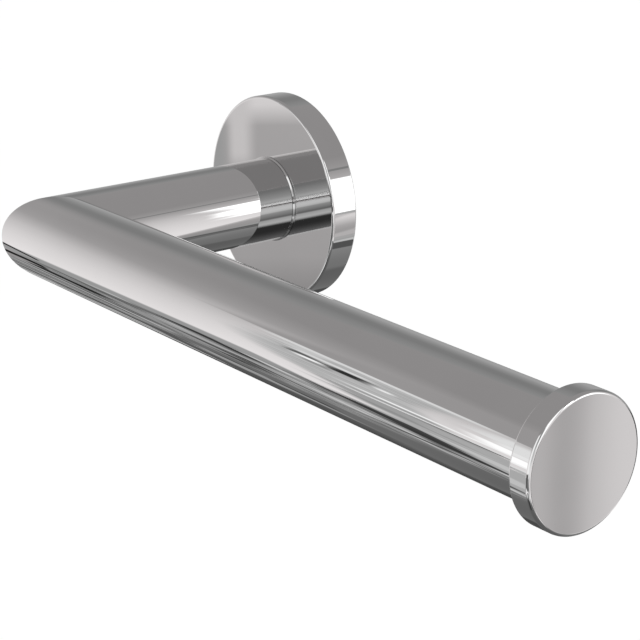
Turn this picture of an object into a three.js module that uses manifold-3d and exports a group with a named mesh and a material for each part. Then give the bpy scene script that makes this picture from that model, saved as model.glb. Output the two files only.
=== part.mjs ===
// A wall-mounted toilet roll holder in polished chrome. A round rose stands on the wall, a tubular
// post leaves its middle, and a bar leaves the post at a mitred corner and ends in a flat round cap.
// The rose hides a wall plate. A set screw in the underside of the rose grips that plate's edge.
//
// Millimetres, +Z up. The origin is the centre of the wall plate's back face, which lies on the wall.
// The post runs along -Y, away from the wall, and the bar along +X.

import * as THREE from 'three';
import { mergeVertices } from 'three/addons/utils/BufferGeometryUtils.js';
import Module from 'manifold-3d';

const wasm = await Module();
wasm.setup();

// Tube that the post and the bar are cut from
const TUBE_DIAMETER = 20;
const TUBE_WALL = 1.5;
const POST_REACH = 65; // wall to the axis of the bar
const BAR_LENGTH = 162; // axis of the post to the open end of the bar
const MITRE_GAP = 0.05; // between the two cut faces, which the braze fills
const BRAZE_WALL = 0.9; // thickness of the braze that lines the corner
const BRAZE_REACH = 1.6; // how far the braze spreads to each side of the mitre
const TUBE_END_BEVEL = 0.2;

// Rose, a hollow cover
const ROSE_DIAMETER = 50;
const ROSE_THICKNESS = 7;
const ROSE_FACE = 1.8; // front wall
const ROSE_RIM = 5; // side wall, which carries the set screw
const ROSE_BEVEL = 0.4;
const ROSE_BACK_BEVEL = 0.2;

// Thin ring between the rose and the post
const SEAT_RING_THICKNESS = 0.5;
const SEAT_RING_PROUD = 0.35; // beyond the tube, all round

// Wall plate
const PLATE_SIDE_CLEARANCE = 0.6; // to the inside of the rose's rim
const PLATE_FACE_CLEARANCE = 0.3; // to the inside of the rose's front wall
const PLATE_FLOOR = 2; // left behind the recess for the post screw's head
const PLATE_RECESS_CLEARANCE = 1; // round the washer
const GROOVE_DEPTH = 0.9; // V groove round the plate's edge
const SLOT_SPACING = 24; // between the two wall-screw slots
const SLOT_WIDTH = 4.5;
const SLOT_TRAVEL = 3.5; // straight part of a slot, for levelling
const SLOT_SINK_WIDTH = 8; // countersunk part
const SLOT_SINK_DEPTH = 2.3;

// Set screw with a cone point
const SET_SCREW_DIAMETER = 4;
const SET_SCREW_STATION = 2.9; // from the wall to the screw's axis
const SET_SCREW_SUNK = 1; // below the rose's rim
const SET_SCREW_POINT = 1.6; // length of the 45 degree cone
const SET_SCREW_KEY = 2; // across the flats of its socket
const SET_SCREW_KEY_DEPTH = 2;

// Low-head screw that pulls the post onto the rose, with its spring washer and dowel pin
const POST_SCREW_DIAMETER = 6;
const POST_SCREW_LENGTH = 16; // under the head
const POST_SCREW_HEAD_DIAMETER = 10;
const POST_SCREW_HEAD_HEIGHT = 2;
const POST_SCREW_KEY = 4;
const POST_SCREW_KEY_DEPTH = 1.2;
const WASHER_RIM = 2.3; // width of the flat ring
const WASHER_THICKNESS = 0.8;
const WASHER_SPLIT = 0.8;
const DOWEL_DIAMETER = 2;
const DOWEL_LENGTH = 5;
const POST_PLUG_LENGTH = 16;

// End cap, its stud and the threaded insert in the bar
const CAP_DIAMETER = 25;
const CAP_THICKNESS = 4.7;
const CAP_BEVEL = 0.4;
const CAP_BACK_BEVEL = 0.25;
const CAP_SPIGOT_LENGTH = 5;
const CAP_TAP_DEPTH = 7.5; // blind hole, from the end of the spigot
const STUD_DIAMETER = 6;
const STUD_LENGTH = 14;
const INSERT_LENGTH = 10;

// Clearances and fineness
const BORE_FIT = 0.1; // a plug inside a tube, on the radius
const THREAD_FIT = 0.15; // a screw in its hole, on the radius
const SEAT_GAP = 0.05; // two faces that are clamped together
const END_GAP = 0.3; // past the end of a screw, pin or spigot
const EDGE_BEVEL = 0.4; // ends of screws, pins and plugs
const ROUND_STEPS = 96;
const SMALL_STEPS = 48;
const HEX_STEPS = 6;

// Sizes that follow from those above
const tubeRadius = TUBE_DIAMETER / 2;
const boreRadius = tubeRadius - TUBE_WALL;
const plugRadius = boreRadius - BORE_FIT;
const roseRadius = ROSE_DIAMETER / 2;
const cavityRadius = roseRadius - ROSE_RIM;
const cavityDepth = ROSE_THICKNESS - ROSE_FACE;
const plateRadius = cavityRadius - PLATE_SIDE_CLEARANCE;
const plateThickness = cavityDepth - PLATE_FACE_CLEARANCE;
const postScrewHole = POST_SCREW_DIAMETER / 2 + THREAD_FIT;
const washerRadius = postScrewHole + WASHER_RIM;
const recessRadius = Math.max(washerRadius, POST_SCREW_HEAD_DIAMETER / 2) + PLATE_RECESS_CLEARANCE;
const dowelHole = DOWEL_DIAMETER / 2 + THREAD_FIT;
const dowelOffset = (postScrewHole + plugRadius) / 2; // from the axis of the post, midway in its plug
const setScrewHole = SET_SCREW_DIAMETER / 2 + THREAD_FIT;
const setScrewTip = SET_SCREW_DIAMETER / 2 - SET_SCREW_POINT;
const setScrewReach = plateRadius - GROOVE_DEPTH + THREAD_FIT; // from the post's axis to its point
const setScrewLength = roseRadius - SET_SCREW_SUNK - setScrewReach;
const seatRingFront = ROSE_THICKNESS + SEAT_GAP + SEAT_RING_THICKNESS;
const postLength = POST_REACH - seatRingFront - SEAT_GAP; // corner to the open end of the post
const studHole = STUD_DIAMETER / 2 + THREAD_FIT;
const insertFront = BAR_LENGTH - CAP_SPIGOT_LENGTH - END_GAP;
const capTapFloor = BAR_LENGTH + SEAT_GAP - CAP_SPIGOT_LENGTH + CAP_TAP_DEPTH;

const chrome = { color: 0xc9cacc, roughness: 0.06, metalness: 1 };
const brass = { color: 0xb08d4a, roughness: 0.35, metalness: 1 };
const steel = { color: 0x9a9da1, roughness: 0.3, metalness: 1 };
const zinc = { color: 0xa9adb0, roughness: 0.5, metalness: 1 };
const silverBraze = { color: 0xb9b3a2, roughness: 0.45, metalness: 1 };

// Solids

// The points of an outline as vectors, from pairs of a radius and a place along the axis.
function outline(pairs) {
  return pairs.map(([radius, along]) => new THREE.Vector2(radius, along));
}

// A solid of revolution about Y whose outline starts and ends on the axis.
function turned(pairs, steps) {
  return new THREE.LatheGeometry(outline(pairs), steps);
}

// A ring about Y, whose outline closes on itself.
function turnedRing(pairs, steps) {
  return turned([...pairs, pairs[0]], steps);
}

// A plain rod about Y from one place to another, with a bevel at both ends.
function rod(radius, from, to, steps, bevel = 0) {
  return turned(
    [
      [0, from],
      [radius - bevel, from],
      [radius, from + bevel],
      [radius, to - bevel],
      [radius - bevel, to],
      [0, to],
    ],
    steps,
  );
}

// A hexagonal bar about Y, by its width across the flats.
function hexBar(acrossFlats, from, to) {
  const cornerRadius = acrossFlats / 2 / Math.cos(Math.PI / HEX_STEPS);
  const bar = new THREE.CylinderGeometry(cornerRadius, cornerRadius, to - from, HEX_STEPS);
  return bar.translate(0, (from + to) / 2, 0);
}

// A bar with round ends, seen along Y: a slot's shape, straight along Z.
function slotBar(width, travel, from, to) {
  const round = width / 2;
  const shape = new THREE.Shape();
  shape.absarc(0, travel / 2, round, 0, Math.PI, false);
  shape.absarc(0, -travel / 2, round, Math.PI, 2 * Math.PI, false);
  const options = { depth: to - from, bevelEnabled: false, curveSegments: SMALL_STEPS / 4 };
  return new THREE.ExtrudeGeometry(shape, options).rotateX(Math.PI / 2).translate(0, to, 0);
}

function toManifold(geometry) {
  const bare = geometry.clone();
  bare.deleteAttribute('normal');
  bare.deleteAttribute('uv');
  const merged = mergeVertices(bare);
  return new wasm.Manifold(
    new wasm.Mesh({
      numProp: 3,
      vertProperties: new Float32Array(merged.attributes.position.array),
      triVerts: new Uint32Array(merged.index.array),
    }),
  );
}

function toGeometry(manifold) {
  const mesh = manifold.getMesh();
  const geometry = new THREE.BufferGeometry();
  geometry.setAttribute('position', new THREE.BufferAttribute(mesh.vertProperties, mesh.numProp));
  geometry.setIndex(new THREE.BufferAttribute(mesh.triVerts, 1));
  geometry.computeVertexNormals();
  return geometry;
}

function cut(geometry, ...cutters) {
  const whole = toManifold(geometry);
  return toGeometry(cutters.reduce((left, cutter) => left.subtract(toManifold(cutter)), whole));
}

// What lies beyond a plane through the origin at 45 degrees between +X and +Y, moved towards +Y by
// an offset along its normal.
function beyondMitre(offset) {
  const size = 8 * TUBE_DIAMETER;
  return new THREE.BoxGeometry(size, size, size).translate(0, offset - size / 2, 0).rotateZ(Math.PI / 4);
}

// Rose side, with places given as distances out from the wall

function roseGeometry() {
  const body = turnedRing(
    [
      [postScrewHole, -ROSE_THICKNESS],
      [roseRadius - ROSE_BEVEL, -ROSE_THICKNESS],
      [roseRadius, -ROSE_THICKNESS + ROSE_BEVEL],
      [roseRadius, -ROSE_BACK_BEVEL],
      [roseRadius - ROSE_BACK_BEVEL, 0],
      [cavityRadius, 0],
      [cavityRadius, -cavityDepth],
      [postScrewHole, -cavityDepth],
    ],
    ROUND_STEPS,
  );
  const setScrewBore = rod(setScrewHole, cavityRadius - ROSE_RIM, roseRadius + ROSE_RIM, SMALL_STEPS)
    .rotateX(-Math.PI / 2)
    .translate(0, -SET_SCREW_STATION, 0);
  const dowelBore = rod(dowelHole, -2 * ROSE_THICKNESS, 0, SMALL_STEPS).translate(0, 0, dowelOffset);
  return cut(body, setScrewBore, dowelBore);
}

function wallPlateGeometry() {
  const recessFloor = -PLATE_FLOOR;
  const grooveFloor = setScrewTip + THREAD_FIT;
  const grooveMouth = grooveFloor + GROOVE_DEPTH;
  const body = turned(
    [
      [0, recessFloor],
      [recessRadius, recessFloor],
      [recessRadius, -plateThickness],
      [plateRadius, -plateThickness],
      [plateRadius, -SET_SCREW_STATION - grooveMouth],
      [plateRadius - GROOVE_DEPTH, -SET_SCREW_STATION - grooveFloor],
      [plateRadius - GROOVE_DEPTH, -SET_SCREW_STATION + grooveFloor],
      [plateRadius, -SET_SCREW_STATION + grooveMouth],
      [plateRadius, 0],
      [0, 0],
    ],
    ROUND_STEPS,
  );
  const slots = [-1, 1].flatMap((side) =>
    [
      slotBar(SLOT_WIDTH, SLOT_TRAVEL, -2 * plateThickness, plateThickness),
      slotBar(SLOT_SINK_WIDTH, SLOT_TRAVEL, -2 * plateThickness, SLOT_SINK_DEPTH - plateThickness),
    ].map((bar) => bar.translate((side * SLOT_SPACING) / 2, 0, 0)),
  );
  return cut(body, ...slots);
}

// From its point at 0 out to its socketed end.
function setScrewGeometry() {
  const radius = SET_SCREW_DIAMETER / 2;
  const body = turned(
    [
      [0, 0],
      [setScrewTip, 0],
      [radius, SET_SCREW_POINT],
      [radius, setScrewLength - EDGE_BEVEL],
      [radius - EDGE_BEVEL, setScrewLength],
      [0, setScrewLength],
    ],
    SMALL_STEPS,
  );
  return cut(body, hexBar(SET_SCREW_KEY, setScrewLength - SET_SCREW_KEY_DEPTH, 2 * setScrewLength));
}

// The underside of its head is at 0, its thread runs along -Y and its head stands along +Y.
function postScrewGeometry() {
  const radius = POST_SCREW_DIAMETER / 2;
  const headRadius = POST_SCREW_HEAD_DIAMETER / 2;
  const body = turned(
    [
      [0, -POST_SCREW_LENGTH],
      [radius - EDGE_BEVEL, -POST_SCREW_LENGTH],
      [radius, -POST_SCREW_LENGTH + EDGE_BEVEL],
      [radius, 0],
      [headRadius, 0],
      [headRadius, POST_SCREW_HEAD_HEIGHT - EDGE_BEVEL],
      [headRadius - EDGE_BEVEL, POST_SCREW_HEAD_HEIGHT],
      [0, POST_SCREW_HEAD_HEIGHT],
    ],
    SMALL_STEPS,
  );
  const socketFloor = POST_SCREW_HEAD_HEIGHT - POST_SCREW_KEY_DEPTH;
  return cut(body, hexBar(POST_SCREW_KEY, socketFloor, 2 * POST_SCREW_HEAD_HEIGHT));
}

function springWasherGeometry() {
  const ring = turnedRing(
    [
      [postScrewHole, 0],
      [washerRadius, 0],
      [washerRadius, WASHER_THICKNESS],
      [postScrewHole, WASHER_THICKNESS],
    ],
    SMALL_STEPS,
  );
  const split = new THREE.BoxGeometry(2 * washerRadius, 4 * WASHER_THICKNESS, WASHER_SPLIT);
  return cut(ring, split.translate(washerRadius, 0, 0));
}

function seatRingGeometry() {
  const outer = tubeRadius + SEAT_RING_PROUD;
  const round = SEAT_RING_THICKNESS / 2;
  const rounded = Array.from({ length: 5 }, (_, i) => {
    const angle = ((i - 2) * Math.PI) / 4;
    return [outer - round + round * Math.cos(angle), round + round * Math.sin(angle)];
  });
  return turnedRing([[boreRadius, 0], ...rounded, [boreRadius, SEAT_RING_THICKNESS]], ROUND_STEPS);
}

// Arm, in a frame whose origin is the corner: the post and the bar are both modelled along +Y, and
// the bar is then turned half a turn about the mitre's own diagonal

const mitreDiagonal = new THREE.Vector3(1, 1, 0).normalize();
const halfTurn = new THREE.Quaternion().setFromAxisAngle(mitreDiagonal, Math.PI);

// A tube along +Y from the mitre to an open end.
function mitredTubeGeometry(length) {
  const tube = turnedRing(
    [
      [boreRadius, -TUBE_DIAMETER],
      [tubeRadius, -TUBE_DIAMETER],
      [tubeRadius, length - TUBE_END_BEVEL],
      [tubeRadius - TUBE_END_BEVEL, length],
      [boreRadius, length],
    ],
    ROUND_STEPS,
  );
  return cut(tube, beyondMitre(MITRE_GAP / 2));
}

// The braze lines both bores at the corner, in a band to each side of the mitre. The two halves lap
// over each other by the mitre gap.
function mitreBrazeGeometry() {
  const lining = turnedRing(
    [
      [plugRadius - BRAZE_WALL, -TUBE_DIAMETER],
      [plugRadius, -TUBE_DIAMETER],
      [plugRadius, 2 * TUBE_DIAMETER],
      [plugRadius - BRAZE_WALL, 2 * TUBE_DIAMETER],
    ],
    ROUND_STEPS,
  );
  const band = toManifold(lining).intersect(toManifold(beyondMitre(BRAZE_REACH)));
  const half = toGeometry(band.subtract(toManifold(beyondMitre(-MITRE_GAP / 2))));
  return toGeometry(toManifold(half).add(toManifold(half.clone().applyQuaternion(halfTurn))));
}

// The plug fills the wall end of the post, and its face bears on the rose.
function postPlugGeometry() {
  const face = POST_REACH - ROSE_THICKNESS - SEAT_GAP;
  const back = face - POST_PLUG_LENGTH;
  const body = turnedRing(
    [
      [postScrewHole, back],
      [plugRadius - EDGE_BEVEL, back],
      [plugRadius, back + EDGE_BEVEL],
      [plugRadius, face],
      [postScrewHole, face],
    ],
    ROUND_STEPS,
  );
  const dowelDepth = DOWEL_LENGTH - ROSE_FACE + END_GAP;
  const dowelBore = rod(dowelHole, face - dowelDepth, POST_REACH, SMALL_STEPS);
  return cut(body, dowelBore.translate(0, 0, dowelOffset));
}

function capInsertGeometry() {
  return turnedRing(
    [
      [studHole, insertFront - INSERT_LENGTH],
      [plugRadius - EDGE_BEVEL, insertFront - INSERT_LENGTH],
      [plugRadius, insertFront - INSERT_LENGTH + EDGE_BEVEL],
      [plugRadius, insertFront],
      [studHole, insertFront],
    ],
    ROUND_STEPS,
  );
}

function endCapGeometry() {
  const back = BAR_LENGTH + SEAT_GAP;
  const front = back + CAP_THICKNESS;
  const spigotEnd = back - CAP_SPIGOT_LENGTH;
  const radius = CAP_DIAMETER / 2;
  return turned(
    [
      [0, capTapFloor],
      [studHole, capTapFloor],
      [studHole, spigotEnd],
      [plugRadius - EDGE_BEVEL, spigotEnd],
      [plugRadius, spigotEnd + EDGE_BEVEL],
      [plugRadius, back],
      [radius - CAP_BACK_BEVEL, back],
      [radius, back + CAP_BACK_BEVEL],
      [radius, front - CAP_BEVEL],
      [radius - CAP_BEVEL, front],
      [0, front],
    ],
    ROUND_STEPS,
  );
}

// Assembly

function part(name, geometry, finish) {
  const mesh = new THREE.Mesh(geometry, new THREE.MeshStandardMaterial(finish));
  mesh.name = name;
  return mesh;
}

function placed(mesh, x, y, z) {
  mesh.position.set(x, y, z);
  return mesh;
}

function wallSide() {
  const group = new THREE.Group();
  const setScrew = part('set_screw', setScrewGeometry(), steel);
  setScrew.rotation.x = -Math.PI / 2;
  const washerBack = WASHER_THICKNESS - cavityDepth + SEAT_GAP;
  const dowel = rod(DOWEL_DIAMETER / 2, -DOWEL_LENGTH, 0, SMALL_STEPS, EDGE_BEVEL);
  group.add(
    part('wall_plate', wallPlateGeometry(), zinc),
    part('rose', roseGeometry(), chrome),
    placed(setScrew, 0, -SET_SCREW_STATION, -setScrewReach),
    placed(part('spring_washer', springWasherGeometry(), steel), 0, SEAT_GAP - cavityDepth, 0),
    placed(part('post_screw', postScrewGeometry(), steel), 0, washerBack + SEAT_GAP, 0),
    placed(part('dowel_pin', dowel, steel), 0, -cavityDepth, dowelOffset),
    placed(part('seat_ring', seatRingGeometry(), chrome), 0, -seatRingFront, 0),
  );
  return group;
}

function bar() {
  const group = new THREE.Group();
  const studFrom = capTapFloor - END_GAP - STUD_LENGTH;
  const stud = rod(STUD_DIAMETER / 2, studFrom, studFrom + STUD_LENGTH, SMALL_STEPS, EDGE_BEVEL);
  group.add(
    part('bar_tube', mitredTubeGeometry(BAR_LENGTH), chrome),
    part('cap_insert', capInsertGeometry(), brass),
    part('cap_stud', stud, steel),
    part('end_cap', endCapGeometry(), chrome),
  );
  group.quaternion.copy(halfTurn);
  return group;
}

function arm() {
  const group = new THREE.Group();
  group.add(
    part('post_tube', mitredTubeGeometry(postLength), chrome),
    part('post_plug', postPlugGeometry(), brass),
    part('mitre_braze', mitreBrazeGeometry(), silverBraze),
    bar(),
  );
  group.position.y = -POST_REACH;
  return group;
}

const holder = new THREE.Group();
holder.add(wallSide(), arm());

export default holder;
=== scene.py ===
"""Looks of a chrome toilet roll holder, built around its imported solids.

Finer meshes, turned and mitred, stand for the seven solids that show from outside. The polished chrome
mirrors glowing cards, seen in reflections alone: a grey ceiling, two windows, a streaky floor, a dark table.
"""
import math

import bmesh
import bpy
from mathutils import Matrix, Vector


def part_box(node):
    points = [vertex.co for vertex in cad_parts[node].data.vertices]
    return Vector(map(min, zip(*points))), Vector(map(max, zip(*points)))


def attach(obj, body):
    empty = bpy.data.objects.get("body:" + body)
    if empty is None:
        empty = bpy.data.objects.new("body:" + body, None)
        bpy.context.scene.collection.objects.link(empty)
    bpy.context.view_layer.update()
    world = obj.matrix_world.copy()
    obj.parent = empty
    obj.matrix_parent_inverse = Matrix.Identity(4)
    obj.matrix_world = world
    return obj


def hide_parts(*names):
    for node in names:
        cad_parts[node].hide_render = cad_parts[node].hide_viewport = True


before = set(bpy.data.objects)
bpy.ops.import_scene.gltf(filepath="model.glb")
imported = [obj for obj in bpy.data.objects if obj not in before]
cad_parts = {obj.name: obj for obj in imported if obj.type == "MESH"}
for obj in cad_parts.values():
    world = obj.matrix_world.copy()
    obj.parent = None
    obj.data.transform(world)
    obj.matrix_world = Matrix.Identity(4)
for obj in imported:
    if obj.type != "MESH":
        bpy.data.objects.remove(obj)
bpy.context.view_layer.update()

MM = 0.001

# Sizes that the boxes of the solids do not give
TUBE_WALL = 1.5 * MM
TUBE_EDGE = 0.06 * MM
ROSE_FACE = 1.8 * MM
ROSE_RIM = 5 * MM
ROSE_EDGE = 0.6 * MM
ROSE_BACK_EDGE = 0.3 * MM
ROSE_INNER_ROUND = 0.5 * MM
ROSE_HOLE_RADIUS = 3.15 * MM
SEAT_RING_WALL = 2.2 * MM
SEAT_RING_BEVEL = 0.28 * MM
CAP_THICKNESS = 4.7 * MM
CAP_EDGE = 0.65 * MM
CAP_BACK_EDGE = 0.3 * MM
SPIGOT_EDGE = 0.4 * MM
SPIGOT_CLEARANCE = 0.05 * MM
SCREW_FIT = 0.15 * MM
SCREW_BORE_RADIUS = 2.15 * MM
SCREW_TIP_RADIUS = 0.4 * MM
SCREW_PITCH = 0.7 * MM
SCREW_THREAD_DEPTH = 0.35 * MM
SCREW_FLANK_SLOPE = 1.3  # over 1, so that the crests of the thread are flat
HEX_SIDES = 6
HEX_ACROSS_FLATS = 2 * MM
HEX_DEPTH = 2 * MM
PLATE_GROOVE_DEPTH = 0.9 * MM
PLATE_GROOVE_ROUND = 0.1 * MM
PLATE_RECESS_RADIUS = 6.45 * MM
PLATE_RECESS_ROUND = 0.2 * MM
PLATE_FLOOR = 2 * MM
PLATE_EDGE = 0.3 * MM
SLOT_OFFSET = 12 * MM
SLOT_WIDTH = 4.5 * MM
SLOT_STRAIGHT = 3.5 * MM
SINK_WIDTH = 8 * MM
SINK_DEPTH = 2.3 * MM

# Fineness of the meshes
TURN_STEPS = 360
TUBE_STEPS = 720
SMALL_STEPS = 64
CORNER_STEPS = 8
THREAD_STEPS = 8  # rows of vertices to a turn of thread
CARD_STEP = 3  # degrees across one face of a card
FLAT_MARGIN = 0.08 * MM  # between a straight stretch's ends and the extra points beside them
CUT_MARGIN = 1 * MM  # by which a cutter reaches past what it cuts
SHARP_ANGLE = math.radians(35)

# Grain of the metals, in cycles per metre along X, Y and Z
ALONG_BAR = (60, 1500, 1500)
ALONG_POST = (1500, 60, 1500)
EVEN = (1500, 1500, 1500)
TURNING_MARKS = (900, 6000, 900)

# Noise values between which a metal's colour and gloss drift
COLOUR_DRIFT = (0.35, 0.65)
GLOSS_DRIFT = (0.3, 0.7)

# The photograph's camera
CAMERA_AZIMUTH = 52.75
CAMERA_ELEVATION = 18.47
CAMERA_ROLL = math.radians(-0.24)
CAMERA_DISTANCE = 418.5 * MM
CAMERA_TARGET = Vector((57.49, -35.64, -10.14)) * MM
CAMERA_LENS = 109.9
CAMERA_CLIP_START = 0.01
CAMERA_CLIP_END = 50

# The white surroundings and the lamp
WHITE = (1, 1, 1, 1)
WORLD_LIGHT = 0.85  # strength for rays that only light the object; the others see a strength of 1
FLOOR_DROP = 0.9
FLOOR_RADIUS = 40
FLOOR_COLOUR = (0.95, 0.95, 0.95, 1)
FLOOR_GLOW = 1.04
FLOOR_GLOW_SHARE = 0.85  # of what the camera sees; the rest is matt and takes the shadow
LAMP_PLACE = Vector((0.3, -0.6, 1.5))
LAMP_SIZE = 1.4
LAMP_POWER = 4

# The rooms of cards that the chrome mirrors
FAR_ROOM_CENTRE = Vector((0.075, -0.05, 0))
FAR_ROOM_RADIUS = 30
FAR_ROOM_GAP = 0.02
NEAR_ROOM_RADIUS = 0.15
NEAR_ROOM_GAP = 0.0005
CORNER_ROOM_RADIUS = 0.09
CORNER_ROOM_REACH = 0.06
FULL_REACH = 0.9  # share of a room's reach within which its cards show fully
NEUTRAL = Vector((1, 1, 1))
WARM = Vector((1.027, 0.993, 0.994))

# Boxes of the solids that the pieces stand for or make room for
rose_low, rose_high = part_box("rose")
ring_low, ring_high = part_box("seat_ring")
post_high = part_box("post_tube")[1]
bar_low, bar_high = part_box("bar_tube")
cap_low, cap_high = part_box("end_cap")
plate_low, plate_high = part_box("wall_plate")
screw_low, screw_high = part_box("set_screw")
dowel_low, dowel_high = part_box("dowel_pin")

tube_radius = bar_high.z
bar_axis = bar_low.y + tube_radius
set_screw_axis = (screw_low.y + screw_high.y) / 2
rose_centre = Vector((0, rose_low.y, 0))

# The two tubes from the arm's corner: local Y runs along the tube, and local X points away from the other one
BAR_PLACE = Matrix(((0, 1, 0, 0), (-1, 0, 0, bar_axis), (0, 0, 1, 0), (0, 0, 0, 1)))
POST_PLACE = Matrix(((-1, 0, 0, 0), (0, 1, 0, bar_axis), (0, 0, 1, 0), (0, 0, 0, 1)))

# Turns about X that point local Y down or up
DOWN = -math.pi / 2
UP = math.pi / 2


def new_object(name, data):
    """A new object of a mesh, a lamp or a camera, in the scene."""
    made = bpy.data.objects.new(name, data)
    bpy.context.scene.collection.objects.link(made)
    return made


def mesh_object(name, mesh_edit):
    """A new object of an edited mesh."""
    mesh = bpy.data.meshes.new(name)
    mesh_edit.to_mesh(mesh)
    mesh_edit.free()
    return new_object(name, mesh)


def shade_smooth(mesh_edit):
    """Smooth faces, with the edges kept sharp where two faces meet at a steep angle."""
    for face in mesh_edit.faces:
        face.smooth = True
    for edge in mesh_edit.edges:
        edge.smooth = len(edge.link_faces) == 2 and edge.calc_face_angle() < SHARP_ANGLE


def solid_object(name, mesh_edit, place=Matrix.Identity(4)):
    """A new object of an edited closed mesh, moved to its place, with its faces outwards."""
    bmesh.ops.transform(mesh_edit, matrix=place, verts=mesh_edit.verts)
    bmesh.ops.recalc_face_normals(mesh_edit, faces=mesh_edit.faces)
    shade_smooth(mesh_edit)
    return mesh_object(name, mesh_edit)


def round_corner(before, corner, after, radius):
    """Points of an arc that takes the place of a corner between two straight lines."""
    if radius == 0:
        return [corner]
    back = (before - corner).normalized()
    ahead = (after - corner).normalized()
    half = back.angle(ahead) / 2
    centre = corner + (back + ahead).normalized() * (radius / math.sin(half))
    start = (corner + back * (radius / math.tan(half)) - centre).normalized()
    end = (corner + ahead * (radius / math.tan(half)) - centre).normalized()
    return [centre + start.slerp(end, step / CORNER_STEPS) * radius for step in range(CORNER_STEPS + 1)]


def outline(corners, closed):
    """Profile points of a turned piece from its corners, each a radius, a height and the round it gets.

    Long straight stretches get a point close to either end, which keeps flat faces flat in their shading.
    """
    points = [Vector(corner[:2]) for corner in corners]
    count = len(points)
    arcs = []
    for index, corner in enumerate(corners):
        arcs.append(round_corner(points[index - 1], points[index], points[(index + 1) % count], corner[2]))
    profile = []
    for index, arc in enumerate(arcs):
        profile += arc
        if index == count - 1 and not closed:
            break
        following = arcs[(index + 1) % count][0]
        stretch = following - arc[-1]
        if stretch.length > 4 * FLAT_MARGIN:
            step = stretch.normalized() * FLAT_MARGIN
            profile += [point for point in (arc[-1] + step, following - step) if point.x > 2 * FLAT_MARGIN]
    return profile


def around_axis(radius, height, angle):
    """The point at a radius, a height along the Y axis and an angle about it."""
    return (radius * math.sin(angle), height, radius * math.cos(angle))


def bridge(mesh_edit, rings):
    """Faces from each ring of vertices to the next. A ring of a single vertex is a point."""
    for near, far in zip(rings, rings[1:]):
        steps = max(len(near), len(far))
        for step in range(steps):
            after = (step + 1) % steps
            corners = [near[step % len(near)], near[after % len(near)]]
            corners += [far[after % len(far)], far[step % len(far)]]
            mesh_edit.faces.new(list(dict.fromkeys(corners)))


def turned(corners, closed=False, steps=TURN_STEPS):
    """An edited mesh of a profile turned about the Y axis."""
    mesh_edit = bmesh.new()
    rings = []
    for radius, height in outline(corners, closed):
        count = steps if radius > 0 else 1
        angles = [2 * math.pi * step / steps for step in range(count)]
        rings.append([mesh_edit.verts.new(around_axis(radius, height, angle)) for angle in angles])
    bridge(mesh_edit, rings + rings[:1] if closed else rings)
    return mesh_edit


def cut(piece, *cutters):
    """Takes the cutters' volume out of a piece and removes the cutters."""
    for cutter in cutters:
        modifier = piece.modifiers.new("cut", "BOOLEAN")
        modifier.object = cutter
        modifier.solver = "EXACT"
    depsgraph = bpy.context.evaluated_depsgraph_get()
    mesh_edit = bmesh.new()
    mesh_edit.from_mesh(bpy.data.meshes.new_from_object(piece.evaluated_get(depsgraph)))
    shade_smooth(mesh_edit)
    piece.modifiers.clear()
    mesh_edit.to_mesh(piece.data)
    mesh_edit.free()
    for cutter in cutters:
        bpy.data.objects.remove(cutter)


def round_rod(name, radius, length, place, steps=SMALL_STEPS):
    """A plain rod along local Y to cut holes with, turned so that its edges miss those of the piece."""
    mesh_edit = turned([(0, 0, 0), (radius, 0, 0), (radius, length, 0), (0, length, 0)], steps=steps)
    half_step = Matrix.Rotation(math.pi / SMALL_STEPS, 4, "Y")
    return solid_object(name, mesh_edit, place @ half_step)


def on_screw_axis(height, turn):
    """A place at a height on the set screw's axis, with local Y turned down or up."""
    return Matrix.Translation((0, set_screw_axis, height)) @ Matrix.Rotation(turn, 4, "X")


def mitred_tube(name, length, place):
    """A tube from the arm's corner, cut there at 45 degrees, with a fine round at its other end."""
    bore = tube_radius - TUBE_WALL
    mesh_edit = turned(
        [
            (tube_radius, 0, 0),
            (tube_radius, length, TUBE_EDGE),
            (bore, length, TUBE_EDGE),
            (bore, 0, 0),
        ],
        closed=True,
        steps=TUBE_STEPS,
    )
    near_mitre = 2 * FLAT_MARGIN
    for vert in mesh_edit.verts:
        if vert.co.y < near_mitre:
            vert.co.y -= vert.co.x
    return solid_object(name, mesh_edit, place)


def post_piece():
    """The tube that stands out from the wall to the arm's corner."""
    return mitred_tube("polished_post", post_high.y - bar_axis, POST_PLACE)


def bar_piece():
    """The tube that carries the roll, from the arm's corner to the cap."""
    return mitred_tube("polished_bar", bar_high.x, BAR_PLACE)


def rose_piece():
    """The wall cover: a shallow cup with fine edges and holes for the post screw, set screw and dowel."""
    radius = rose_high.x
    front = rose_low.y
    inner = radius - ROSE_RIM
    mesh_edit = turned(
        [
            (radius, rose_high.y, ROSE_BACK_EDGE),
            (inner, rose_high.y, ROSE_BACK_EDGE),
            (inner, front + ROSE_FACE, ROSE_INNER_ROUND),
            (ROSE_HOLE_RADIUS, front + ROSE_FACE, 0),
            (ROSE_HOLE_RADIUS, front, 0),
            (radius, front, ROSE_EDGE),
        ],
        closed=True,
    )
    rose = solid_object("polished_rose", mesh_edit)
    dowel = (dowel_low + dowel_high) / 2
    dowel_radius = (dowel_high.z - dowel_low.z) / 2
    through = Matrix.Translation((dowel.x, front - CUT_MARGIN, dowel.z))
    cut(
        rose,
        round_rod("screw_bore", SCREW_BORE_RADIUS, 2 * radius, on_screw_axis(0, DOWN)),
        round_rod("dowel_bore", dowel_radius + SCREW_FIT, ROSE_FACE + 2 * CUT_MARGIN, through),
    )
    return rose


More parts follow.
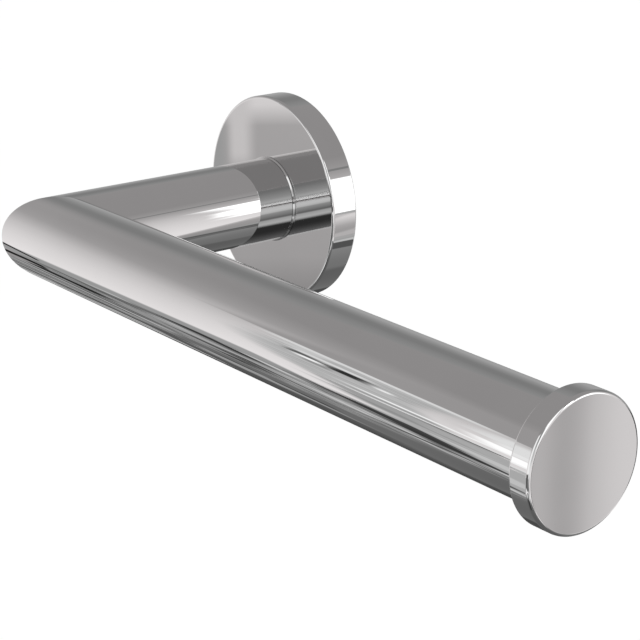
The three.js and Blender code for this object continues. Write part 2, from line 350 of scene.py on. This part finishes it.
def seat_ring_piece():
    """The thin ring under the post, with a bevelled rim that stands just proud of the tube."""
    radius = ring_high.x
    mesh_edit = turned(
        [
            (radius, ring_high.y, 0),
            (radius - SEAT_RING_WALL, ring_high.y, 0),
            (radius - SEAT_RING_WALL, ring_low.y, 0),
            (radius - SEAT_RING_BEVEL, ring_low.y, 0),
            (radius, ring_low.y + SEAT_RING_BEVEL, 0),
        ],
        closed=True,
    )
    return solid_object("polished_seat_ring", mesh_edit)


def cap_piece():
    """The flat round cap with its spigot inside the bar."""
    radius = cap_high.z
    length = cap_high.x
    back = length - CAP_THICKNESS
    spigot = tube_radius - TUBE_WALL - SPIGOT_CLEARANCE
    mesh_edit = turned(
        [
            (0, cap_low.x, 0),
            (spigot, cap_low.x, SPIGOT_EDGE),
            (spigot, back, 0),
            (radius, back, CAP_BACK_EDGE),
            (radius, length, CAP_EDGE),
            (0, length, 0),
        ]
    )
    return solid_object("polished_cap", mesh_edit, BAR_PLACE)


def slot_cutter(name, offset):
    """A countersunk slot, long in Z, through the wall plate."""
    mesh_edit = bmesh.new()
    sections = [
        (plate_high.y + CUT_MARGIN, SLOT_WIDTH / 2),
        (plate_low.y + SINK_DEPTH, SLOT_WIDTH / 2),
        (plate_low.y, SINK_WIDTH / 2),
        (plate_low.y - CUT_MARGIN, SINK_WIDTH / 2),
    ]
    rings = []
    for height, radius in sections:
        ring = []
        for step in range(SMALL_STEPS):
            across, _, along = around_axis(radius, height, 2 * math.pi * (step + 0.5) / SMALL_STEPS)
            shift = math.copysign(SLOT_STRAIGHT / 2, along)
            ring.append(mesh_edit.verts.new((offset + across, height, along + shift)))
        rings.append(ring)
    bridge(mesh_edit, rings)
    mesh_edit.faces.new(rings[0])
    mesh_edit.faces.new(rings[-1])
    return solid_object(name, mesh_edit)


def plate_piece():
    """The hidden wall plate: a grooved disc with a recess for the screw head and two slots."""
    radius = plate_high.x
    groove = set_screw_axis
    floor = SCREW_TIP_RADIUS + SCREW_FIT
    mouth = floor + PLATE_GROOVE_DEPTH
    mesh_edit = turned(
        [
            (0, plate_high.y, 0),
            (radius, plate_high.y, PLATE_EDGE),
            (radius, groove + mouth, PLATE_GROOVE_ROUND),
            (radius - PLATE_GROOVE_DEPTH, groove + floor, PLATE_GROOVE_ROUND),
            (radius - PLATE_GROOVE_DEPTH, groove - floor, PLATE_GROOVE_ROUND),
            (radius, groove - mouth, PLATE_GROOVE_ROUND),
            (radius, plate_low.y, PLATE_EDGE),
            (PLATE_RECESS_RADIUS, plate_low.y, PLATE_EDGE),
            (PLATE_RECESS_RADIUS, -PLATE_FLOOR, PLATE_RECESS_ROUND),
            (0, -PLATE_FLOOR, 0),
        ]
    )
    plate = solid_object("zinc_wall_plate", mesh_edit)
    cut(plate, slot_cutter("slot_left", -SLOT_OFFSET), slot_cutter("slot_right", SLOT_OFFSET))
    return plate


def hex_cutter(name, place):
    """A six-sided rod along local Y for the set screw's socket."""
    corner_radius = HEX_ACROSS_FLATS / math.sqrt(3)
    return round_rod(name, corner_radius, HEX_DEPTH + CUT_MARGIN, place, steps=HEX_SIDES)


def screw_radius(height, turn, length):
    """The set screw's radius at a height from its tip and a share of a turn.

    Its thread runs out at both ends, and the cone point cuts it off.
    """
    root = screw_high.x - SCREW_THREAD_DEPTH
    run_out = min(1, min(height, length - height) / SCREW_PITCH)
    phase = (height / SCREW_PITCH - turn) % 1
    crest = 1 - abs(2 * phase - 1)
    thread = root + SCREW_THREAD_DEPTH * run_out * min(1, SCREW_FLANK_SLOPE * crest)
    return min(thread, SCREW_TIP_RADIUS + height)


def set_screw_piece():
    """The set screw, with a real thread, a cone point at the top and a hex socket at the bottom."""
    length = screw_high.z - screw_low.z
    rows = round(length / SCREW_PITCH * THREAD_STEPS)
    mesh_edit = bmesh.new()
    rings = [[mesh_edit.verts.new((0, 0, 0))]]
    for row in range(rows + 1):
        height = length * row / rows
        ring = []
        for step in range(SMALL_STEPS):
            turn = step / SMALL_STEPS
            point = around_axis(screw_radius(height, turn, length), height, 2 * math.pi * turn)
            ring.append(mesh_edit.verts.new(point))
        rings.append(ring)
    rings.append([mesh_edit.verts.new((0, length, 0))])
    bridge(mesh_edit, rings)
    screw = solid_object("socket_set_screw", mesh_edit, on_screw_axis(screw_high.z, DOWN))
    cut(screw, hex_cutter("hex_socket", on_screw_axis(screw_low.z - CUT_MARGIN, UP)))
    return screw


def dress(piece, node, body, material):
    """Lets a piece stand for a solid, ride on its body and wear a material."""
    piece.data.materials.append(material)
    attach(piece, body)
    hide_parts(node)


class Nodes:
    """The node tree of a material or a world, with short calls to add and link nodes."""

    def __init__(self, tree):
        self.tree = tree
        tree.nodes.clear()

    def add(self, kind, **values):
        """A new node with these settings."""
        node = self.tree.nodes.new(kind)
        for key, value in values.items():
            setattr(node, key, value)
        return node

    def link(self, out_socket, in_socket):
        """Feeds one node's output to another's input."""
        self.tree.links.new(out_socket, in_socket)

    def noise(self, coordinates, scale, detail=3.0, roughness=0.5):
        """Noise of that scale, in cycles per unit of its coordinates."""
        node = self.add("ShaderNodeTexNoise")
        node.inputs["Scale"].default_value = scale
        node.inputs["Detail"].default_value = detail
        node.inputs["Roughness"].default_value = roughness
        self.link(coordinates, node.inputs["Vector"])
        return node.outputs["Fac"]

    def stretched(self, coordinates, scale):
        """Coordinates scaled by a different amount along each axis."""
        node = self.add("ShaderNodeMapping")
        node.inputs["Scale"].default_value = scale
        self.link(coordinates, node.inputs["Vector"])
        return node.outputs["Vector"]

    def map_range(self, value, old, new, kind="LINEAR"):
        """A value carried from one range to another."""
        node = self.add("ShaderNodeMapRange", interpolation_type=kind)
        for name, limit in zip(("From Min", "From Max", "To Min", "To Max"), (*old, *new)):
            node.inputs[name].default_value = limit
        self.link(value, node.inputs["Value"])
        return node.outputs["Result"]

    def math(self, operation, first, second):
        """Two values joined by an operation."""
        node = self.add("ShaderNodeMath", operation=operation)
        self.link(first, node.inputs[0])
        self.link(second, node.inputs[1])
        return node.outputs["Value"]

    def part(self, vector, axis):
        """One coordinate of a vector."""
        node = self.add("ShaderNodeSeparateXYZ")
        self.link(vector, node.inputs["Vector"])
        return node.outputs[axis]

    def mix_shaders(self, share, first, second):
        """Two shaders mixed by the share of the second."""
        node = self.add("ShaderNodeMixShader")
        for socket, value in zip(node.inputs, (share, first, second)):
            self.link(value, socket)
        return node.outputs["Shader"]

    def surface(self, shader):
        """Makes a shader the material's surface."""
        self.link(shader, self.add("ShaderNodeOutputMaterial").inputs["Surface"])

    def ramp(self, value, stops):
        """A colour from a value, by stops of place and colour."""
        node = self.add("ShaderNodeValToRGB")
        elements = node.color_ramp.elements
        while len(elements) < len(stops):
            elements.new(0.5)
        for element, (place, colour) in zip(elements, stops):
            element.position = place
            element.color = (*colour, 1)
        self.link(value, node.inputs["Fac"])
        return node.outputs["Color"]

    def bump(self, height, depth):
        """A normal from a height pattern of that depth in metres."""
        node = self.add("ShaderNodeBump")
        node.inputs["Distance"].default_value = depth
        self.link(height, node.inputs["Height"])
        return node.outputs["Normal"]


def new_material(name):
    """A new material and its empty node tree."""
    material = bpy.data.materials.new(name)
    material.use_nodes = True
    return material, Nodes(material.node_tree)


def metal(name, dark, light, roughness, patch_scale, grain_scale, grain_depth):
    """A metal whose colour and gloss drift from place to place over a fine grain."""
    material, nodes = new_material(name)
    shader = nodes.add("ShaderNodeBsdfPrincipled")
    shader.inputs["Metallic"].default_value = 1
    nodes.surface(shader.outputs["BSDF"])
    place = nodes.add("ShaderNodeTexCoord").outputs["Object"]
    patches = nodes.noise(place, patch_scale)
    nodes.link(nodes.ramp(patches, list(zip(COLOUR_DRIFT, (dark, light)))), shader.inputs["Base Color"])
    nodes.link(nodes.map_range(patches, GLOSS_DRIFT, roughness), shader.inputs["Roughness"])
    grain = nodes.noise(nodes.stretched(place, grain_scale), 1, detail=2)
    nodes.link(nodes.bump(grain, grain_depth), shader.inputs["Normal"])
    return material


def chrome(name, grain_scale):
    """Polished chrome plate with faint buffing marks."""
    return metal(
        name,
        dark=(0.64, 0.64, 0.64),
        light=(0.66, 0.66, 0.66),
        roughness=(0.01, 0.03),
        patch_scale=45,
        grain_scale=grain_scale,
        grain_depth=0.00001 * MM,
    )


def turned_steel():
    """Grey steel with fine turning marks."""
    return metal(
        "turned_steel",
        dark=(0.3, 0.305, 0.32),
        light=(0.4, 0.405, 0.41),
        roughness=(0.22, 0.38),
        patch_scale=400,
        grain_scale=TURNING_MARKS,
        grain_depth=0.004 * MM,
    )


def zinc_plate():
    """Dull, slightly blue zinc plating."""
    return metal(
        "zinc_plate",
        dark=(0.4, 0.43, 0.45),
        light=(0.56, 0.58, 0.59),
        roughness=(0.32, 0.5),
        patch_scale=220,
        grain_scale=EVEN,
        grain_depth=0.006 * MM,
    )


def turned_brass():
    """Yellow brass with fine turning marks."""
    return metal(
        "turned_brass",
        dark=(0.42, 0.26, 0.07),
        light=(0.56, 0.37, 0.12),
        roughness=(0.2, 0.34),
        patch_scale=300,
        grain_scale=TURNING_MARKS,
        grain_depth=0.004 * MM,
    )


def silver_braze():
    """Pale braze with a rough, flowed surface."""
    return metal(
        "silver_braze",
        dark=(0.42, 0.38, 0.29),
        light=(0.6, 0.57, 0.48),
        roughness=(0.3, 0.55),
        patch_scale=500,
        grain_scale=EVEN,
        grain_depth=0.01 * MM,
    )


def white_share(nodes):
    """1 for the rays that see the plain white background: camera, glossy and transmission rays."""
    path = nodes.add("ShaderNodeLightPath")
    seen = path.outputs["Is Camera Ray"]
    for ray in ("Is Glossy Ray", "Is Transmission Ray"):
        seen = nodes.math("MAXIMUM", seen, path.outputs[ray])
    return seen


def white_world():
    """White surroundings that light the object softly."""
    world = bpy.data.worlds.new("white_room")
    bpy.context.scene.world = world
    world.use_nodes = True
    nodes = Nodes(world.node_tree)
    background = nodes.add("ShaderNodeBackground")
    background.inputs["Color"].default_value = WHITE
    nodes.link(nodes.map_range(white_share(nodes), (0, 1), (WORLD_LIGHT, 1)), background.inputs["Strength"])
    nodes.link(background.outputs["Background"], nodes.add("ShaderNodeOutputWorld").inputs["Surface"])


def pale_floor():
    """A pale floor below the holder, white to the camera, which still takes a soft shadow."""
    mesh_edit = bmesh.new()
    bmesh.ops.create_circle(mesh_edit, cap_ends=True, radius=FLOOR_RADIUS, segments=TURN_STEPS)
    bmesh.ops.translate(mesh_edit, verts=mesh_edit.verts, vec=(0, 0, -FLOOR_DROP))
    floor = mesh_object("floor", mesh_edit)
    material, nodes = new_material("pale_floor")
    floor.data.materials.append(material)
    matt = nodes.add("ShaderNodeBsdfDiffuse")
    matt.inputs["Color"].default_value = FLOOR_COLOUR
    glow = nodes.add("ShaderNodeEmission")
    glow.inputs["Color"].default_value = WHITE
    glow.inputs["Strength"].default_value = FLOOR_GLOW
    share = nodes.map_range(white_share(nodes), (0, 1), (0, FLOOR_GLOW_SHARE))
    nodes.surface(nodes.mix_shaders(share, matt.outputs["BSDF"], glow.outputs["Emission"]))
    floor.visible_glossy = False


def direction(azimuth, elevation):
    """The unit direction at an azimuth and elevation in degrees, counted as for the camera."""
    around = math.radians(azimuth)
    above = math.radians(elevation)
    return Vector((math.sin(around) * math.cos(above), -math.cos(around) * math.cos(above), math.sin(above)))


def card_sheet(name, azimuths, elevations, centre, radius, slant):
    """A curved sheet round a centre, turned by its slant about its middle.

    Its UV coordinates are the azimuth and elevation in degrees that it would have without the slant.
    """
    middle = Vector((sum(azimuths) / 2, sum(elevations) / 2))
    turn = Matrix.Rotation(math.radians(slant), 2)
    mesh_edit = bmesh.new()
    uv = mesh_edit.loops.layers.uv.new("degrees")
    columns = max(2, round((azimuths[1] - azimuths[0]) / CARD_STEP))
    rows = max(2, round((elevations[1] - elevations[0]) / CARD_STEP))
    grid = []
    for row in range(rows + 1):
        elevation = elevations[0] + (elevations[1] - elevations[0]) * row / rows
        for column in range(columns + 1):
            azimuth = azimuths[0] + (azimuths[1] - azimuths[0]) * column / columns
            level_place = Vector((azimuth, elevation))
            place = middle + turn @ (level_place - middle)
            vert = mesh_edit.verts.new(centre + direction(*place) * radius)
            grid.append((vert, level_place))
    for row in range(rows):
        for column in range(columns):
            first = row * (columns + 1) + column
            corners = [grid[first], grid[first + 1], grid[first + columns + 2], grid[first + columns + 1]]
            face = mesh_edit.faces.new([vert for vert, _ in corners])
            for loop, (_, degrees) in zip(face.loops, corners):
                loop[uv].uv = degrees
    return mesh_object(name, mesh_edit)


def card_glow(nodes, place, elevations, levels, stripes, tint):
    """A card's tinted glow: by elevation, or by stripes of so many per degree in azimuth and in elevation."""
    glow = nodes.add("ShaderNodeEmission")
    brightest = max(level for _, level in levels)
    glow.inputs["Strength"].default_value = brightest
    if stripes:
        pattern = nodes.noise(nodes.stretched(place, (*stripes, 1)), 1, detail=3, roughness=0.6)
        stops = [(value, tint * level / brightest) for value, level in levels]
    else:
        pattern = nodes.map_range(nodes.part(place, "Y"), elevations, (0, 1))
        height = elevations[1] - elevations[0]
        stops = [((value - elevations[0]) / height, tint * level / brightest) for value, level in levels]
    nodes.link(nodes.ramp(pattern, stops), glow.inputs["Color"])
    return glow.outputs["Emission"]


def card_cover(nodes, place, azimuths, elevations, fades, reach):
    """How much a card hides of what is behind it: less where its edges fade, nothing beyond its reach."""
    edges = [
        ("X", azimuths[0], azimuths[0] + fades[0]),
        ("X", azimuths[1], azimuths[1] - fades[1]),
        ("Y", elevations[0], elevations[0] + fades[2]),
        ("Y", elevations[1], elevations[1] - fades[3]),
    ]
    limits = [(nodes.part(place, axis), edge, inside) for axis, edge, inside in edges if edge != inside]
    if reach:
        limits.append((nodes.add("ShaderNodeLightPath").outputs["Ray Length"], reach, FULL_REACH * reach))
    cover = None
    for value, nothing, everything in limits:
        share = nodes.map_range(value, (nothing, everything), (0, 1), "SMOOTHSTEP")
        cover = share if cover is None else nodes.math("MULTIPLY", cover, share)
    return cover


class Room:
    """A round room of cards that only reflections show, each a little in front of those made before it.

    A room with a reach shows its cards only to surfaces that are nearer to them than that.
    """

    def __init__(self, centre, radius, gap, reach=None):
        self.centre = centre
        self.radius = radius
        self.gap = gap
        self.reach = reach

    def card(
        self, name, azimuths, elevations, levels, fades=(0, 0, 0, 0), stripes=None, tint=NEUTRAL, slant=0
    ):
        """Adds a card between two azimuths and two elevations.

        Levels are pairs of an elevation and a brightness, or of a stripe value and a brightness. Fades are
        the degrees over which its left, right, lower and upper edges go out. Slant turns the card about its
        middle.
        """
        sheet = card_sheet(name, azimuths, elevations, self.centre, self.radius, slant)
        self.radius -= self.gap
        material, nodes = new_material(name)
        sheet.data.materials.append(material)
        place = nodes.add("ShaderNodeTexCoord").outputs["UV"]
        glow = card_glow(nodes, place, elevations, levels, stripes, tint)
        cover = card_cover(nodes, place, azimuths, elevations, fades, self.reach)
        if cover is None:
            nodes.surface(glow)
        else:
            clear = nodes.add("ShaderNodeBsdfTransparent").outputs["BSDF"]
            nodes.surface(nodes.mix_shaders(cover, clear, glow))
        sheet.visible_camera = False
        sheet.visible_diffuse = False
        sheet.visible_transmission = False
        sheet.visible_shadow = False


def plain(level):
    """Levels of a card that is equally bright all over."""
    return [(-90, level), (90, level)]


def room_behind(room):
    """The ceiling, the table and the walls that the long curved faces show."""
    shell = [
        (-38, 1.12), (-22, 1.12), (-4, 0.985), (4, 0.895), (13, 0.77), (20, 0.62), (26, 0.49), (38, 0.385),
        (90, 0.385),
    ]
    room.card("walls_and_ceiling", (-180, 180), (-38, 90), shell, tint=WARM)
    room.card("ceiling_step", (-56.5, -30), (15.3, 34), plain(0.455), fades=(3.5, 4, 0.8, 4), tint=WARM)
    table = [(-90, 0.14), (-58, 0.155), (-46, 0.19), (-37.5, 0.22)]
    room.card("table", (-180, 180), (-90, -37.5), table)
    wall = [(-20, 0.3), (-4, 0.42), (3, 0.45), (14, 0.36), (22, 0.285), (28, 0.285), (40, 0.385)]
    room.card("grey_wall", (-205, -92), (-20, 40), wall, fades=(6, 22, 0, 2))
    room.card("floor_edge", (-140, -110), (-46, -15.5), plain(0.08), fades=(3, 3, 2, 1))
    room.card("wall_foot", (-114, -101), (-34, -22), plain(0.7), fades=(1.5, 2, 1.5, 2))
    room.card("dark_back", (142, 205), (-32, -8), plain(0.07), fades=(5, 5, 3, 3))


def floor_on_left(room):
    """The streaky floor, with its single lines and spots, that the bar shows along its underside."""
    streaks = [(0.39, 0.03), (0.44, 0.2), (0.49, 0.52), (0.53, 0.18), (0.57, 0.45), (0.63, 0.85)]
    room.card("streaky_floor", (-112, -56), (-44, -24), streaks, fades=(2, 2, 5, 1.4), stripes=(0.26, 0.1))
    room.card("floor_strip", (-74, -55.5), (-28, -20.8), plain(0.46), fades=(3, 1.5, 2, 2.4))
    pale = [(0.42, 0.14), (0.5, 0.38), (0.58, 0.64)]
    room.card("floor_pale", (-97, -81), (-37, -30.5), pale, fades=(1.5, 2, 1.5, 1), stripes=(0.5, 0.1))
    room.card("floor_dark", (-101.4, -97), (-37, -30.5), plain(0.1), fades=(1.2, 1.2, 1, 0.8))
    room.card("floor_shade", (-96, -80), (-45, -36.6), plain(0.2), fades=(2, 3, 3, 1))
    room.card("edge_dark", (-117, -99), (-45, -33.4), plain(0.12), fades=(2, 3, 4, 1))
    room.card("edge_pale", (-99, -91), (-41.5, -37.4), plain(0.42), fades=(2, 1.5, 1, 0.8))
    room.card("limb_dark", (-118, -106.5), (-40, -32.4), plain(0.1), fades=(1, 1.5, 2, 0.8))
    room.card("under_line_left", (-91.4, -88.6), (-40.2, -38.2), plain(0.05), fades=(0.8, 0.8, 0.6, 0.6))
    room.card("under_line_right", (-93.8, -90.6), (-42.8, -40), plain(0.05), fades=(0.8, 0.8, 0.6, 0.6))
    room.card("corner_dark", (-80.5, -75), (-31.6, -27.5), plain(0.05), fades=(1.5, 1.2, 0.8, 1))
    room.card("strip_line", (-71, -62.5), (-30.2, -27.4), plain(0.2), fades=(2.5, 1.5, 0.8, 0.8))
    room.card("strip_line_end", (-65.4, -61.9), (-33.4, -26.8), plain(0.05), fades=(0.8, 0.8, 1, 0.6))
    room.card("strip_light", (-62.6, -59.8), (-32.4, -28), plain(0.82), fades=(0.8, 0.8, 0.8, 0.8))
    room.card("light_line", (-71.4, -66.4), (-34.6, -30.4), plain(0.56), fades=(1, 1, 1, 1))
    room.card("pale_band", (-79.6, -73.8), (-37.4, -32.8), plain(0.4), fades=(1, 1, 1, 0.6))
    room.card("dark_line", (-74.8, -71.4), (-37, -33.2), plain(0.1), fades=(0.8, 0.8, 1, 1))
    room.card("dark_spot", (-78.8, -74.8), (-32.8, -30.8), plain(0.02), fades=(0.8, 0.8, 0.5, 0.5))


def wall_on_left(room):
    """The low wall on the left and the veil above it, which the bar's front shows under the ceiling."""
    foot = [(0.41, 0.1), (0.5, 0.46), (0.59, 0.82)]
    room.card("left_foot", (-69, -53), (-42, -30), foot, fades=(4, 1, 3, 2), stripes=(0.3, 0.12))
    room.card("left_foot_dark", (-67.8, -60.6), (-39.6, -37.2), plain(0.14), fades=(1.5, 1.5, 0.8, 0.8))
    faint = [(0.3, 0.4), (0.5, 0.56), (0.7, 0.78)]
    room.card("left_low", (-53.6, 36), (-36, -18), faint, fades=(3, 3, 1, 0.6), stripes=(0.06, 0.4))
    room.card("left_low_end", (-55.5, -49), (-36, -24.2), plain(0.6), fades=(1, 3, 1, 1.4))
    room.card("left_low_shade", (-51.8, -48.4), (-22, -17.6), plain(0.42), fades=(1, 1, 1, 1))
    room.card("left_low_light", (-52.2, -45.6), (-31.8, -25.2), plain(0.79), fades=(1.2, 1, 1, 0.8))
    room.card("left_board", (-51.5, -43.6), (-19, -13), plain(0.51), fades=(1.5, 1.5, 0.5, 0.5))
    room.card("left_low_pale", (-48.4, -38), (-32, -15.5), plain(0.6), fades=(1.5, 0, 3, 1))
    room.card("rim_low", (-44.4, -38), (-17, -12.6), plain(0.67), fades=(1, 0, 1, 0.8))
    veil = [(0.35, 0.54), (0.5, 0.67), (0.65, 0.82)]
    room.card("left_veil", (-52, -44.6), (-13.2, 14), veil, fades=(2.2, 1.2, 0.4, 1), stripes=(0.08, 0.9))
    room.card("veil_light", (-51.6, -49.3), (8.6, 13.6), plain(0.84), fades=(1, 0.6, 1, 0.6))
    room.card("left_foot_line", (-58.6, -53.4), (-37, -25), plain(0.06), fades=(1.6, 1.3, 2, 3))
    room.card("foot_line_low", (-59.8, -56), (-37, -31.6), plain(0.06), fades=(1.4, 0.8, 2, 1))
    room.card("foot_line_top", (-55.8, -52.6), (-31.6, -26.6), plain(0.08), fades=(0.8, 0.8, 0.8, 1.2))


def window_on_left(room):
    """The window on the left and its sill, which give the bar its bright stripe."""
    room.card("window_left", (-44.2, -33), (-9, -0.5), plain(1.55), fades=(1.4, 2, 1, 1.5))
    room.card("window_gap", (-43.3, -33), (-1, 4), plain(1.2), fades=(1, 2, 1, 1))
    room.card("window_left_top", (-44.5, -33), (2.5, 15), plain(1.1), fades=(1.6, 2, 1.5, 5))
    room.card("step_light", (-53.2, -43), (12.8, 15.8), plain(1.02), fades=(1.6, 3, 0.6, 0.6))
    room.card("sill_light", (-49, -34), (-9.2, -6.9), plain(1.35), fades=(2.5, 0, 0.7, 0.7))
    room.card("sill_light_low", (-50, -34), (-13.2, -11.7), plain(1.08), fades=(2, 0, 0.3, 0.5))
    room.card("sill_shade", (-49, -45), (-11.6, -9.4), plain(0.48), fades=(1, 1, 0.5, 0.5))
    room.card("sill_dark", (-48, -43.4), (-14.8, -13.2), plain(0.2), fades=(2.5, 0.8, 0.5, 0.3))


def leaves_on_left(room):
    """Leaves beside that window, which the bar shows as a small dark feather."""
    room.card("leaf_rim", (-50.4, -47), (6.4, 9.6), plain(1.02), fades=(0.8, 1, 0.8, 1))
    room.card("leaf_stem", (-49.6, -48), (3.2, 5.8), plain(0.28), fades=(0.4, 0.4, 0.8, 0.8))
    room.card("leaf_small", (-50, -48.6), (2.4, 6.8), plain(0.16), fades=(0.5, 0.7, 1.2, 1.2))
    room.card("leaf_large", (-48.7, -46.7), (1.4, 7), plain(0.04), fades=(0.7, 0.8, 1.2, 1.2))
    room.card("leaf_shade", (-49.2, -47.9), (-1.6, 1.6), plain(0.42), fades=(0.4, 0.4, 0.8, 0.8))
    room.card("leaf_light", (-49.6, -48.2), (1, 4), plain(1.4), fades=(0.6, 0.6, 0.8, 0.8))
    room.card("leaf_light_right", (-47, -46), (1.4, 4.8), plain(1.25), fades=(0.5, 0.4, 1, 1))


def room_right(room):
    """What the post, the rose's rim and the cap's face show: a window with a low wall under it."""
    room.card("right_dark", (106, 121), (-34, -10), plain(0.08), fades=(2, 1, 2, 2))
    room.card("right_pale", (126.6, 150), (-37.5, -11), plain(0.9), tint=WARM)
    room.card("right_low", (126.4, 136.8), (-36.5, -12.5), plain(0.65), fades=(0.8, 2, 0, 0), tint=WARM)
    foot = [(-39, 0.12), (-37.2, 0.17), (-35.6, 0.45), (-33, 0.56), (-31, 0.54)]
    room.card("right_foot", (126.6, 150), (-39, -31), foot, fades=(0.8, 3, 0, 1))
    room.card("right_shade", (133.9, 135.7), (-34, -14), plain(0.55), fades=(0.8, 1, 3, 3), tint=WARM)
    low_wall = [
        (-36, 0.42), (-25, 0.5), (-22, 0.57), (-14.4, 1), (-12.8, 0.95), (-11.8, 0.52), (-11, 0.52),
    ]
    room.card("low_wall", (127.2, 132.6), (-36, -11), low_wall, fades=(0.8, 1, 1, 0), tint=WARM)
    room.card("post_line", (112, 127), (-39.6, -37), plain(0.05), fades=(1, 1, 0.5, 0.5))
    room.card("window_right", (123, 142), (-11, 16.5), plain(1.9), fades=(1.4, 2, 1, 1))
    room.card("window_core", (122.5, 142), (-6, 7), plain(2.3), fades=(0.9, 2, 3, 4))
    room.card("window_right_top", (126.4, 142), (14, 20.8), plain(1.9), fades=(0.8, 2, 0, 1))
    room.card("window_foot", (126.4, 132), (-12.4, -9.8), plain(0.56), fades=(0.5, 2, 0.8, 0.6))
    room.card("rim_line", (135.5, 150), (-36.6, -34.4), plain(0.75), fades=(1, 3, 0.5, 0.5))
    room.card("rim_dark", (136.5, 150), (-42.6, -36.4), plain(0.12), fades=(1, 3, 0.8, 0.5))
    table = [(-58, 0.22), (-50, 0.26), (-41.4, 0.33)]
    room.card("table_right", (136, 178), (-58, -41.4), table, fades=(1, 10, 2, 0.8))
    room.card("curtain_line", (118, 142), (27, 29.2), plain(0.3), fades=(2, 2, 0.5, 0.5))
    room.card("line_light", (110, 120.8), (8, 27), plain(3.5), fades=(2, 0.6, 2, 2))
    room.card("side_glow", (60, 106), (0, 46), plain(1.6), fades=(4, 4, 4, 4))


def room_front(room):
    """What the fine edges show, and what the post shows by way of the rose: the side of the camera."""
    room.card("softbox", (-16, 33), (-14, 43), plain(1.3), fades=(6, 4, 3, 4))
    room.card("front_low", (-30, 30), (-36, -11), plain(0.12), fades=(6, 6, 3, 3))
    room.card("softbox_foot", (-34, 0), (-46, -30), plain(1.2), fades=(4, 4, 4, 4))
    room.card("front_table", (-46, 40), (-62, -46), plain(0.05), fades=(62, 6, 0, 2.5))
    side = [
        (-47, 0.3), (-42, 0.91), (-34.5, 0.73), (-33, 0.4), (-31, 0.25), (-28, 0.37), (-20, 0.58),
        (-17.5, 0.98), (-13, 1.13), (-6, 1.06), (3, 0.66), (8, 0.78), (14, 0.58), (30, 0.34),
    ]
    room.card("camera_side", (30, 72), (-47, 35), side, fades=(4, 4, 2, 2))


def room_near_rose(room):
    """A grey board close to the rose, which its face shows, pale along its top and on the left."""
    board = [(-26.1, 0.38), (-22, 0.5), (-6, 0.55), (-3.5, 0.93), (-1, 1)]
    room.card("board", (-62.5, -45.5), (-26.1, -1), board, tint=WARM)
    room.card("board_pale", (-59.8, -55.6), (-12, -1), plain(0.8), fades=(1.4, 2, 3, 0), tint=WARM)
    room.card("board_edge", (-62.5, -59), (-15, -3), plain(0.48), fades=(0, 1.6, 3, 3))


def room_near_corner(room):
    """Two dark lines close to the arm's corner, which the bar's left tip shows."""
    room.card("upper_line", (-27, -18.8), (-11.5, -9.8), plain(0.03), fades=(1, 1, 0.35, 0.35), slant=-36)
    room.card("lower_line", (-31.6, -20.4), (-17.1, -13.8), plain(0.02), fades=(1, 2, 0.6, 0.6), slant=-27)


def soft_lamp():
    """One wide lamp above, for soft light and the shadow on the floor."""
    light = bpy.data.lights.new("soft_lamp", "AREA")
    light.shape = "DISK"
    light.size = LAMP_SIZE
    light.energy = LAMP_POWER
    lamp = new_object("soft_lamp", light)
    lamp.location = LAMP_PLACE
    lamp.rotation_mode = "QUATERNION"
    lamp.rotation_quaternion = (-LAMP_PLACE).to_track_quat("-Z", "Y")
    lamp.visible_glossy = False


def photo_camera():
    """The photograph's camera, with its slight roll."""
    optics = bpy.data.cameras.new("camera")
    optics.lens = CAMERA_LENS
    optics.clip_start = CAMERA_CLIP_START
    optics.clip_end = CAMERA_CLIP_END
    camera = new_object("camera", optics)
    back = direction(CAMERA_AZIMUTH, CAMERA_ELEVATION)
    level = (-back).to_track_quat("-Z", "Y")
    camera.rotation_mode = "QUATERNION"
    camera.rotation_quaternion = level @ Matrix.Rotation(CAMERA_ROLL, 3, "Z").to_quaternion()
    camera.location = CAMERA_TARGET + back * CAMERA_DISTANCE
    bpy.context.scene.camera = camera


# The metals
chrome_bar = chrome("chrome_bar", ALONG_BAR)
chrome_post = chrome("chrome_post", ALONG_POST)
chrome_turned = chrome("chrome_turned", EVEN)
steel = turned_steel()
zinc = zinc_plate()
brass = turned_brass()
braze = silver_braze()

# The pieces that stand for solids
dress(rose_piece(), "rose", "holder", chrome_turned)
dress(seat_ring_piece(), "seat_ring", "holder", chrome_turned)
dress(post_piece(), "post_tube", "holder", chrome_post)
dress(bar_piece(), "bar_tube", "holder", chrome_bar)
dress(cap_piece(), "end_cap", "holder", chrome_turned)
dress(plate_piece(), "wall_plate", "wall_mount", zinc)
dress(set_screw_piece(), "set_screw", "grip_screw", steel)

# The solids that stay as they are, each with its own metal
INNER_METALS = {
    "spring_washer": steel,
    "post_screw": steel,
    "dowel_pin": steel,
    "post_plug": brass,
    "mitre_braze": braze,
    "cap_insert": brass,
    "cap_stud": steel,
}
for node_name, inner_metal in INNER_METALS.items():
    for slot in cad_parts[node_name].material_slots:
        slot.material = inner_metal

# The surroundings, the lamp and the camera
white_world()
pale_floor()
far_room = Room(FAR_ROOM_CENTRE, FAR_ROOM_RADIUS, FAR_ROOM_GAP)
room_behind(far_room)
floor_on_left(far_room)
wall_on_left(far_room)
window_on_left(far_room)
leaves_on_left(far_room)
room_right(far_room)
room_front(far_room)
room_near_rose(Room(rose_centre, NEAR_ROOM_RADIUS, NEAR_ROOM_GAP))
room_near_corner(Room(rose_centre, CORNER_ROOM_RADIUS, NEAR_ROOM_GAP, CORNER_ROOM_REACH))
soft_lamp()
photo_camera()
bpy.context.scene.view_settings.view_transform = "Standard"
